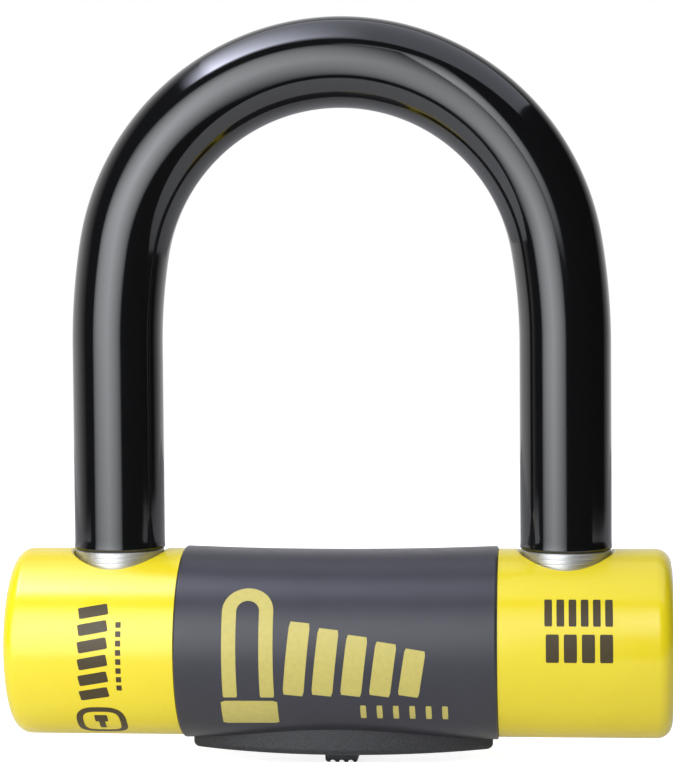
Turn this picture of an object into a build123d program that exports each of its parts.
from build123d import *
import os
from math import asin, cos, pi, sin, sqrt

# A bicycle U lock, standing upright: the crossbar lies along X with its axis through
# the origin, the shackle rises along +Z and the keyhole faces -Z. The lock is drawn
# unlocked, with both bolts drawn in and the shackle fully home.

# ------------------------------------------------------------ driving dimensions (mm)
# Shackle
bar_diameter = 18.0
coat_wall = 1.5
leg_spacing = 104.0           # between the two leg axes
arch_inset = 1.2              # the round top's radius is this much under half the spacing
shoulder_radius = 140.0       # flatter arcs that lead the top into the legs
arch_centre_height = 83.4
coat_gap = 0.1                # from the crossbar's outer cover up to the coat's end
collar_length = 7.5
collar_step = 0.2             # the collar is this much thinner than the coat
foot_floor_land = 1.31        # beside a foot's bumper, to the tube's bore
foot_tip_chamfer = 2.0
notch_depth = 5.7
notch_clearance = 0.7         # above and below a thrown bolt, and at its nose

# Crossbar tube and what closes it
tube_diameter = 40.0
tube_wall = 4.5
end_land = 10.6               # from a foot hole to the end of the tube
plug_thickness = 7.5
plug_pin_diameter = 4.0
body_pin_diameter = 4.0
pin_recess = 0.3              # every pin ends this far below the tube's surface

# Outer covers and sleeve
cover_wall = 1.7
cover_end_wall = 2.5
cover_end_round = 3.5
cover_hole_round = 0.8
cover_land = 4.7              # from a foot hole to the sleeve
sleeve_wall_middle = 1.55
sleeve_wall_end = 2.3
sleeve_edge_round = 0.5
seam_gap = 0.15

# Feet in the crossbar
hole_clearance = 0.4          # collar to the holes in tube and cover
foot_clearance = 0.3          # foot to its block
seal_height = 1.5
bumper_thickness = 2.0

# Bolts and their drive
bolt_diameter = 12.0
bolt_axis_drop = 4.0          # from the tails' underside down to the bolts' axis
bolt_clearance = 0.3
bolt_throw = 5.0
bolt_nose_round = 1.0
bolt_inner_end = 13.0         # from the middle of the crossbar, drawn in
tail_thickness = 3.0
tail_width = 5.6
tail_gap = 0.6                # from the middle plane to each tail
tail_reach = 6.6              # past the middle of the crossbar
cam_pin_diameter = 2.4
cam_slot_clearance = 0.3
cam_thickness = 3.6
lock_body_length = 48.0

# Lock cylinder, on the Z axis
shell_diameter = 17.0
shell_wall = 2.0
shell_length = 24.0
shell_recess = 0.6            # from the tube's lowest line up to the shell's face
core_recess = 0.2             # from there up to the core's face
core_clearance = 0.05
core_wall = 1.25
core_face_thickness = 1.8
guard_thickness = 1.6
disc_count = 7
disc_thickness = 1.4
spacer_thickness = 0.5
disc_clearance = 0.1
key_slot_width = 3.0
key_slot_length = 7.0
side_bar_width = 1.6
side_bar_depth = 1.3
cylinder_pin_diameter = 2.5

# Key housing with its sliding dust cover
housing_overrun = 0.6         # pointed tips past the sleeve's ends, before rounding
housing_wall = 1.5            # beside the cylinder's hole, at the widest place
housing_tip_round = 2.0
housing_depth = 4.85          # below the tube
housing_edge_round = 1.4
housing_gap = 0.4             # housing to the cut-out in the sleeve
housing_screw_inset = 9.5     # from a pointed tip to its screw
screw_diameter = 2.5
screw_head_diameter = 4.2
screw_head_height = 1.5
slider_length = 12.0
slider_width = 10.4
slider_thickness = 1.2
slider_travel = 12.0
slider_clearance = 0.3
knob_length = 7.6
knob_width = 7.6
knob_height = 2.9             # below the housing
knob_round = 1.1
knob_groove_pitch = 2.1
knob_groove_radius = 0.7
track_plate_thickness = 1.2
track_plate_border = 0.7
track_plate_end = 2.4
keyhole_diameter = 8.0

# ------------------------------------------------------------ derived dimensions
bar_radius = bar_diameter / 2
coat_radius = bar_radius + coat_wall
leg_x = leg_spacing / 2
arch_radius = leg_x - arch_inset
hole_radius = coat_radius + hole_clearance
tube_radius = tube_diameter / 2
tube_bore = tube_radius - tube_wall
tube_length = 2 * (leg_x + hole_radius + end_land)
tube_end = tube_length / 2
cover_radius = tube_radius + cover_wall
cover_end = tube_end + cover_end_wall
sleeve_length = 2 * (leg_x - hole_radius - cover_land)
sleeve_end = sleeve_length / 2
cover_start = sleeve_end + seam_gap
coat_end_height = cover_radius + coat_gap
collar_radius = coat_radius - collar_step
collar_bottom = coat_end_height - collar_length
plug_inner = tube_end - plug_thickness
foot_bore = bar_radius + foot_clearance
foot_floor_depth = sqrt(tube_bore ** 2 - (foot_bore + foot_floor_land) ** 2)
foot_tip_depth = round(foot_floor_depth - bumper_thickness - foot_clearance, 2)
seal_top = collar_bottom - foot_clearance
seal_bottom = seal_top - seal_height
bumper_top = -foot_tip_depth - foot_clearance
bumper_bottom = bumper_top - bumper_thickness
bolt_radius = bolt_diameter / 2
bolt_bore = bolt_radius + bolt_clearance
bolt_nose = leg_x - bar_radius - notch_clearance
notch_floor = leg_x - bar_radius + notch_depth
lock_body_end = lock_body_length / 2
shell_radius = shell_diameter / 2
shell_bore = shell_radius - shell_wall
shell_bottom = -tube_radius + shell_recess
shell_top = shell_bottom + shell_length
core_radius = shell_bore - core_clearance
core_bore = core_radius - core_wall
core_bottom = shell_bottom + core_recess
disc_radius = core_bore - disc_clearance
guard_bottom = core_bottom + core_face_thickness
stack_bottom = guard_bottom + guard_thickness
disc_pitch = disc_thickness + spacer_thickness
stack_top = stack_bottom + disc_count * disc_pitch
cam_radius = shell_bore + 0.3
cam_bottom = shell_top + 0.2
cam_top = cam_bottom + cam_thickness
cam_pin_orbit = bolt_throw / sqrt(2)
cam_cavity = cam_radius + 0.4
tail_bottom = cam_top + 0.6
tail_top = tail_bottom + tail_thickness
bolt_axis_height = tail_bottom - bolt_axis_drop
cavity_top = tail_top + 1.0
cavity_end = bolt_inner_end + bolt_throw + 0.5
cavity_side = tail_gap + tail_width + 0.5
housing_length = sleeve_length + 2 * housing_overrun
housing_width = 2 * (shell_radius + hole_clearance + housing_wall)
housing_screw_spacing = housing_length - 2 * housing_screw_inset
housing_bottom = -tube_radius - housing_depth
track_top = -tube_radius - 0.4
track_bottom = track_top - track_plate_thickness
slider_top = track_bottom - slider_clearance
slider_bottom = slider_top - slider_thickness
pocket_bottom = slider_bottom - slider_clearance
knob_bottom = housing_bottom - knob_height


# ------------------------------------------------------------ shared shapes
def rod(radius, bottom, top, x=0, y=0):
    """A vertical cylinder between two heights."""
    return Pos(x, y, (bottom + top) / 2) * Cylinder(radius, top - bottom)


def bar_along_x(radius, start, end, z=0):
    """A cylinder along X between two distances."""
    return Pos((start + end) / 2, 0, z) * Rot(0, 90, 0) * Cylinder(radius, end - start)


def block(x0, x1, y0, y1, z0, z1):
    """A box given by its six faces."""
    middle = Pos((x0 + x1) / 2, (y0 + y1) / 2, (z0 + z1) / 2)
    return middle * Box(x1 - x0, y1 - y0, z1 - z0)


def ring(outer, inner, bottom, top, x=0, y=0):
    """A flat vertical ring."""
    return rod(outer, bottom, top, x, y) - rod(inner, bottom - 1, top + 1, x, y)


def mirrored(shape):
    """The same piece on the other end of the crossbar."""
    return mirror(shape, about=Plane.YZ)


def turned_about_x(profile):
    """A profile drawn as (distance along X, radius), turned about the crossbar's axis."""
    return revolve(Plane.XZ * profile, axis=Axis.X, revolution_arc=360)


# ------------------------------------------------------------ shackle
def shackle_path(foot_height):
    """Leg, shoulder arc, round top, shoulder arc, leg: every join is tangent."""
    offset = shoulder_radius - arch_radius
    turn = asin((shoulder_radius - leg_x) / offset)
    shoulder_height = arch_centre_height - offset * cos(turn)

    def on_shoulder(angle):
        """A point of the right shoulder arc, by its angle from straight up."""
        x = leg_x - shoulder_radius + shoulder_radius * sin(angle)
        return x, shoulder_height + shoulder_radius * cos(angle)

    def on_left(point):
        return -point[0], point[1]

    foot = (leg_x, foot_height)
    leg_top = (leg_x, shoulder_height)
    join = on_shoulder(turn)
    middle = on_shoulder((turn + pi / 2) / 2)
    crown = (0, arch_centre_height + arch_radius)
    edges = [
        Line(on_left(foot), on_left(leg_top)),
        ThreePointArc(on_left(leg_top), on_left(middle), on_left(join)),
        ThreePointArc(on_left(join), crown, join),
        ThreePointArc(join, middle, leg_top),
        Line(leg_top, foot),
    ]
    return Plane.XZ * Wire(edges)


def swept_bar(radius, foot_height):
    """A round bar along the shackle's path."""
    path = shackle_path(foot_height)
    section = Plane(origin=path @ 0, z_dir=path % 0) * Circle(radius)
    return sweep(section, path=path)


def make_shackle_bar():
    """The bent steel bar: chamfered feet, each with a flat notch for its bolt."""
    bar = swept_bar(bar_radius, -foot_tip_depth)
    tips = bar.edges().filter_by(GeomType.CIRCLE).group_by(Axis.Z)[0]
    bar = chamfer(tips, foot_tip_chamfer)
    half_height = bolt_radius + notch_clearance
    low = bolt_axis_height - half_height
    high = bolt_axis_height + half_height
    notch = block(leg_x - bar_diameter, notch_floor, -bar_diameter, bar_diameter, low, high)
    return bar - notch - mirrored(notch)


def make_shackle_coat():
    """The coat over the bar, open at both feet."""
    return swept_bar(coat_radius, coat_end_height) - swept_bar(bar_radius, coat_end_height)


def make_foot_collar():
    """The plain steel ring between the coat and the foot."""
    collar = ring(collar_radius, bar_radius, collar_bottom, coat_end_height, leg_x)
    rims = collar.edges().filter_by(GeomType.CIRCLE).group_by(Axis.Z)[0]
    outer = rims.sort_by(SortBy.RADIUS)[-1]
    return chamfer(outer, collar_step)


# ------------------------------------------------------------ crossbar
def make_crossbar_tube():
    """The steel tube: two foot holes on top, the cylinder hole and two threads below."""
    tube = bar_along_x(tube_radius, -tube_end, tube_end)
    tube -= bar_along_x(tube_bore, -tube_end, tube_end)
    for side in (-1, 1):
        tube -= rod(hole_radius, 0, tube_diameter, side * leg_x)
        tube -= rod(plug_pin_diameter / 2, -tube_diameter, tube_diameter, side * plug_pin_x)
        tube -= rod(screw_diameter / 2, -tube_diameter, 0, side * housing_screw_spacing / 2)
        for x in body_pin_places:
            tube -= rod(body_pin_diameter / 2, 0, tube_diameter, side * x)
    return tube - rod(shell_radius + hole_clearance, -tube_diameter, 0)


def make_end_plug():
    """The steel disc that closes one end of the tube, drilled for its pin."""
    plug = bar_along_x(tube_bore, plug_inner, tube_end)
    return plug - rod(plug_pin_diameter / 2, -tube_diameter, tube_diameter, plug_pin_x)


def make_plug_pins():
    """One pin through the tube and the plug at each end."""
    reach = tube_radius - pin_recess
    return [rod(plug_pin_diameter / 2, -reach, reach, side * plug_pin_x) for side in (-1, 1)]


def make_body_pins():
    """Four pins from the top of the tube, into the lock body and the foot blocks."""
    pins = []
    for x in body_pin_places:
        pins += [rod(body_pin_diameter / 2, pin_foot, tube_radius - pin_recess, side * x)
                 for side in (-1, 1)]
    return pins


def on_hole_lip(edge):
    """True for the edges where the foot hole leaves the cover's outer surface."""
    for place in (0.0, 0.25, 0.5, 0.75, 1.0):
        point = edge @ place
        from_leg = sqrt((point.X - leg_x) ** 2 + point.Y ** 2)
        from_axis = sqrt(point.Y ** 2 + point.Z ** 2)
        if abs(from_leg - hole_radius) > 0.01 or abs(from_axis - cover_radius) > 0.01:
            return False
    return True


def make_end_cover():
    """A moulded cup over one end of the tube, with the foot hole in its top."""
    cover = bar_along_x(cover_radius, cover_start, cover_end)
    rim = cover.edges().filter_by(GeomType.CIRCLE).sort_by(Axis.X)[-1]
    cover = fillet(rim, cover_end_round)
    cover -= bar_along_x(tube_radius, cover_start, tube_end)
    cover -= rod(hole_radius, 0, tube_diameter, leg_x)
    lip = cover.edges().filter_by(lambda edge: edge.center().Z > tube_radius / 2
                                  and on_hole_lip(edge))
    return fillet(lip, cover_hole_round)


def make_centre_sleeve():
    """The soft sleeve, slightly waisted, cut out below for the key housing."""
    end_radius = tube_radius + sleeve_wall_end
    middle_radius = tube_radius + sleeve_wall_middle
    outline = [
        Line((-sleeve_end, tube_radius), (sleeve_end, tube_radius)),
        Line((sleeve_end, tube_radius), (sleeve_end, end_radius)),
        ThreePointArc((sleeve_end, end_radius), (0, middle_radius), (-sleeve_end, end_radius)),
        Line((-sleeve_end, end_radius), (-sleeve_end, tube_radius)),
    ]
    sleeve = turned_about_x(make_face(outline))
    rims = [edge for edge in sleeve.edges().filter_by(GeomType.CIRCLE)
            if edge.radius > (tube_radius + end_radius) / 2]
    sleeve = fillet(rims, sleeve_edge_round)
    cut_out = offset(boat_face(), housing_gap)
    return sleeve - extrude(Pos(0, 0, -tube_diameter) * cut_out, tube_diameter)


# ------------------------------------------------------------ feet, bolts and lock body
def make_foot_block():
    """The guide in the tube: a blind bore for the foot, a bore for the bolt."""
    foot_block = bar_along_x(tube_bore, lock_body_end + seam_gap, plug_inner - seam_gap)
    foot_block -= rod(foot_bore, bumper_bottom, tube_bore, leg_x)
    foot_block -= rod(hole_radius, seal_bottom, tube_bore, leg_x)
    foot_block -= bar_along_x(bolt_bore, 0, leg_x, bolt_axis_height)
    for x in body_pin_places:
        foot_block -= rod(body_pin_diameter / 2, pin_foot, tube_bore, x)
    return foot_block


def make_foot_seal():
    """The wiper ring round the foot, under the collar."""
    return ring(hole_radius, foot_bore, seal_bottom, seal_top, leg_x)


def make_foot_bumper():
    """The rubber pad that stops the foot from rattling."""
    return rod(foot_bore, bumper_bottom, bumper_top, leg_x)


def make_bolt():
    """The right-hand bolt: a round bolt with a flat, forked tail over the cam."""
    bolt = bar_along_x(bolt_radius, bolt_inner_end, bolt_nose, bolt_axis_height)
    nose = bolt.edges().filter_by(GeomType.CIRCLE).sort_by(Axis.X)[-1]
    bolt = fillet(nose, bolt_nose_round)
    outer = tail_gap + tail_width
    tail = block(-tail_reach, bolt_inner_end, tail_gap, outer, tail_bottom, tail_top)
    slot_half = cam_pin_diameter / 2 + cam_slot_clearance
    slot_x = -cam_pin_orbit / sqrt(2)
    slot_end = cam_pin_orbit + slot_half
    tail -= block(slot_x - slot_half, slot_x + slot_half, 0, slot_end, tail_bottom, tail_top)
    return bolt + tail


def make_lock_body():
    """The block in the middle of the tube that carries the cylinder, cam and bolts."""
    body = bar_along_x(tube_bore, -lock_body_end, lock_body_end)
    body -= rod(shell_radius, -tube_bore, shell_top)
    body -= rod(cam_cavity, shell_top, cavity_top)
    body -= block(-cavity_end, cavity_end, -cavity_side, cavity_side, cam_top, cavity_top)
    body -= block(-cavity_end, cavity_end, -tube_bore, tube_bore, cavity_top, tube_bore)
    bore_start = bolt_inner_end - bolt_clearance
    bore = bar_along_x(bolt_bore, bore_start, lock_body_end, bolt_axis_height)
    body = body - bore - mirrored(bore) - make_cylinder_pin()
    for side in (-1, 1):
        body -= rod(body_pin_diameter / 2, pin_foot, tube_bore, side * body_pin_places[0])
    return body


def make_body_cover():
    """The cap that closes the cavity above the bolts' tails."""
    cap = bar_along_x(tube_bore, -cavity_end, cavity_end)
    return cap & block(-cavity_end, cavity_end, -tube_bore, tube_bore, cavity_top, tube_bore)


# ------------------------------------------------------------ lock cylinder
def make_cylinder_shell():
    """The fixed shell of the cylinder, grooved for the side bar and its cross pin."""
    shell = ring(shell_radius, shell_bore, shell_bottom, shell_top)
    groove = block(0, shell_bore + side_bar_depth / 2, -side_bar_width / 2,
                   side_bar_width / 2, guard_bottom, shell_top)
    return shell - groove - make_cylinder_pin()


def make_cylinder_pin():
    """The pin across the lock body that bites into the shell's side."""
    x = shell_radius - 1.0 + cylinder_pin_diameter / 2
    reach = sqrt(tube_bore ** 2 - cylinder_pin_height ** 2) - pin_recess - 0.5
    pin = Rot(90, 0, 0) * Cylinder(cylinder_pin_diameter / 2, 2 * reach)
    return Pos(-x, 0, cylinder_pin_height) * pin


def key_slot(bottom, top):
    """The opening that the flat, round-edged key passes through."""
    face = SlotOverall(key_slot_length, key_slot_width, rotation=90)
    return extrude(Pos(0, 0, bottom) * face, top - bottom)


def side_bar_slot(inner, bottom, top):
    """The gate that the side bar drops into, open to the outside."""
    half = side_bar_width / 2 + 0.05
    return block(inner, shell_bore, -half, half, bottom, top)


def make_cylinder_core():
    """The cup that the key turns: its face has the key slot, its side the bar's slot."""
    core = rod(core_radius, core_bottom, shell_top)
    core -= rod(core_bore, guard_bottom, shell_top)
    core -= key_slot(core_bottom, guard_bottom)
    mouth = core.edges().filter_by(GeomType.CIRCLE).group_by(Axis.Z)[0]
    core = chamfer(mouth, 0.4)
    return core - side_bar_slot(0, stack_bottom, stack_top)


def make_guard_disc():
    """The hardened disc behind the core's face."""
    return rod(disc_radius, guard_bottom, stack_bottom) - key_slot(guard_bottom, stack_bottom)


def make_detainer_discs():
    """The coded discs, each with its gate turned to the side bar."""
    discs = []
    for index in range(disc_count):
        bottom = stack_bottom + index * disc_pitch
        top = bottom + disc_thickness
        disc = rod(disc_radius, bottom, top) - key_slot(bottom, top)
        discs.append(disc - side_bar_slot(side_bar_inner, bottom, top))
    return discs


def make_spacer_discs():
    """The thin washers above the coded discs."""
    washers = []
    for index in range(disc_count):
        bottom = stack_bottom + index * disc_pitch + disc_thickness
        top = bottom + spacer_thickness
        washers.append(ring(side_bar_inner - 0.1, key_slot_length / 2 + 0.2, bottom, top))
    return washers


def make_side_bar():
    """The bar that lies in the discs' gates while the lock is open."""
    half = side_bar_width / 2 - 0.05
    bar = block(side_bar_inner + 0.1, core_radius + 1, -half, half, stack_bottom, stack_top)
    return bar & rod(core_radius - 0.05, stack_bottom, stack_top)


def make_driver_cam():
    """The cam on top of the core, with two holes for its pins."""
    cam = rod(disc_radius, stack_top, cam_bottom) + rod(cam_radius, cam_bottom, cam_top)
    for x, y in cam_pin_places():
        cam -= rod(cam_pin_diameter / 2, cam_bottom, cam_top, x, y)
    return cam


def cam_pin_places():
    """The two pins, opposite each other, a half turn of throw short of the middle."""
    step = cam_pin_orbit / sqrt(2)
    return [(-step, step), (step, -step)]


def make_cam_pins():
    """The two pins that push the bolts' forked tails."""
    return [rod(cam_pin_diameter / 2, cam_bottom, tail_top + 0.4, x, y)
            for x, y in cam_pin_places()]


# ------------------------------------------------------------ key housing
def boat_face():
    """Two arcs that meet in rounded tips: the outline of the key housing."""
    left = (-housing_length / 2, 0)
    right = (housing_length / 2, 0)
    front = ThreePointArc(left, (0, -housing_width / 2), right)
    back = ThreePointArc(right, (0, housing_width / 2), left)
    outline = make_face([front, back])
    return fillet(outline.vertices(), housing_tip_round)


def make_key_housing():
    """The boat-shaped housing under the tube, with the dust slider's track in it."""
    housing = extrude(Pos(0, 0, housing_bottom) * boat_face(), tube_radius)
    lower = housing.edges().group_by(Axis.Z)[0]
    housing = fillet(lower, housing_edge_round)
    housing -= bar_along_x(tube_radius, -tube_end, tube_end)
    housing -= block(*track_plate_span, track_bottom, 0)
    housing -= rod(shell_radius + hole_clearance, track_top, 0)
    half = slider_width / 2 + slider_clearance
    housing -= block(*pocket_span, -half, half, pocket_bottom, 0)
    housing -= block(*window_span, -window_half, window_half, knob_bottom, 0)
    for side in (-1, 1):
        x = side * housing_screw_spacing / 2
        housing -= rod(screw_diameter / 2, housing_bottom, 0, x)
        seat = housing_bottom + screw_head_height + pin_recess
        housing -= rod(screw_head_diameter / 2 + 0.15, housing_bottom, seat, x)
    return housing


def make_track_plate():
    """The thin steel plate above the slider, with the keyhole in it."""
    plate = block(*track_plate_span, track_bottom, track_top)
    return plate - rod(keyhole_diameter / 2, track_bottom, track_top)


def make_keyhole_seal():
    """The soft ring between the cylinder's face and the steel plate."""
    return ring(shell_radius - 0.5, keyhole_diameter / 2 + 0.5, track_top, shell_bottom)


def make_housing_screws():
    """The two screws that hold the housing to the tube."""
    screws = []
    for side in (-1, 1):
        x = side * housing_screw_spacing / 2
        head_bottom = housing_bottom + pin_recess
        head_top = head_bottom + screw_head_height
        head = rod(screw_head_diameter / 2, head_bottom, head_top, x)
        socket = Pos(x, 0, head_bottom) * extrude(RegularPolygon(0.9, 6), 0.9)
        shank = rod(screw_diameter / 2, head_top, screw_end, x)
        screws.append(head + shank - socket)
    return screws


def make_dust_slider():
    """The sliding cover over the keyhole, with a ribbed knob for a fingertip."""
    half_length = slider_length / 2
    half_width = slider_width / 2
    plate = block(-half_length, half_length, -half_width, half_width, slider_bottom, slider_top)
    half_knob = knob_length / 2
    half_depth = knob_width / 2
    knob = block(-half_knob, half_knob, -half_depth, half_depth, knob_bottom, slider_bottom)
    lower = knob.edges().group_by(Axis.Z)[0]
    knob = fillet(lower, knob_round)
    for place in (-knob_groove_pitch, 0, knob_groove_pitch):
        groove = Rot(90, 0, 0) * Cylinder(knob_groove_radius, 2 * knob_width)
        knob -= Pos(place, 0, knob_bottom) * groove
    return plate + knob


# Places that the pieces above share
plug_pin_x = (plug_inner + tube_end) / 2
body_pin_places = (lock_body_end - 2.8, lock_body_end + 6.0)
pin_foot = bolt_axis_height + bolt_bore + 1.2
side_bar_inner = core_radius - side_bar_depth - 0.2
cylinder_pin_height = (shell_bottom + shell_top) / 2 + 2.0
window_half = knob_width / 2 + slider_clearance
window_span = (-knob_length / 2 - slider_clearance,
               knob_length / 2 + slider_travel + slider_clearance)
pocket_span = (-slider_length / 2 - slider_clearance,
               slider_length / 2 + slider_travel + slider_clearance)
track_plate_half = slider_width / 2 + slider_clearance + track_plate_border
track_plate_span = (pocket_span[0] - track_plate_end, pocket_span[1] + track_plate_end,
                    -track_plate_half, track_plate_half)
screw_end = -tube_bore - pin_recess


# ------------------------------------------------------------ writing the pieces
def both_ends(name, piece):
    """The piece for the right end and its mirror image for the left."""
    return {"right_" + name: piece, "left_" + name: mirrored(piece)}


def all_pieces():
    """Every node with its solid, or its group of identical solids."""
    pieces = {
        "shackle_bar": make_shackle_bar(),
        "shackle_coat": make_shackle_coat(),
        "crossbar_tube": make_crossbar_tube(),
        "plug_pins": make_plug_pins(),
        "body_pins": make_body_pins(),
        "centre_sleeve": make_centre_sleeve(),
        "lock_body": make_lock_body(),
        "lock_body_cover": make_body_cover(),
        "cylinder_shell": make_cylinder_shell(),
        "cylinder_pin": make_cylinder_pin(),
        "cylinder_core": make_cylinder_core(),
        "guard_disc": make_guard_disc(),
        "detainer_discs": make_detainer_discs(),
        "spacer_discs": make_spacer_discs(),
        "side_bar": make_side_bar(),
        "driver_cam": make_driver_cam(),
        "cam_pins": make_cam_pins(),
        "key_housing": make_key_housing(),
        "track_plate": make_track_plate(),
        "keyhole_seal": make_keyhole_seal(),
        "housing_screws": make_housing_screws(),
        "dust_slider": make_dust_slider(),
    }
    pieces.update(both_ends("foot_collar", make_foot_collar()))
    pieces.update(both_ends("end_plug", make_end_plug()))
    pieces.update(both_ends("end_cover", make_end_cover()))
    pieces.update(both_ends("foot_block", make_foot_block()))
    pieces.update(both_ends("foot_seal", make_foot_seal()))
    pieces.update(both_ends("foot_bumper", make_foot_bumper()))
    right_bolt = make_bolt()
    pieces["right_bolt"] = right_bolt
    pieces["left_bolt"] = Rot(0, 0, 180) * right_bolt
    return pieces


os.makedirs("parts", exist_ok=True)
for name, piece in all_pieces().items():
    solids = piece if isinstance(piece, list) else [piece]
    shape = Compound(children=solids) if len(solids) > 1 else solids[0]
    export_step(shape, os.path.join("parts", name + ".step"))
    print(name, len(solids), "solid(s)")
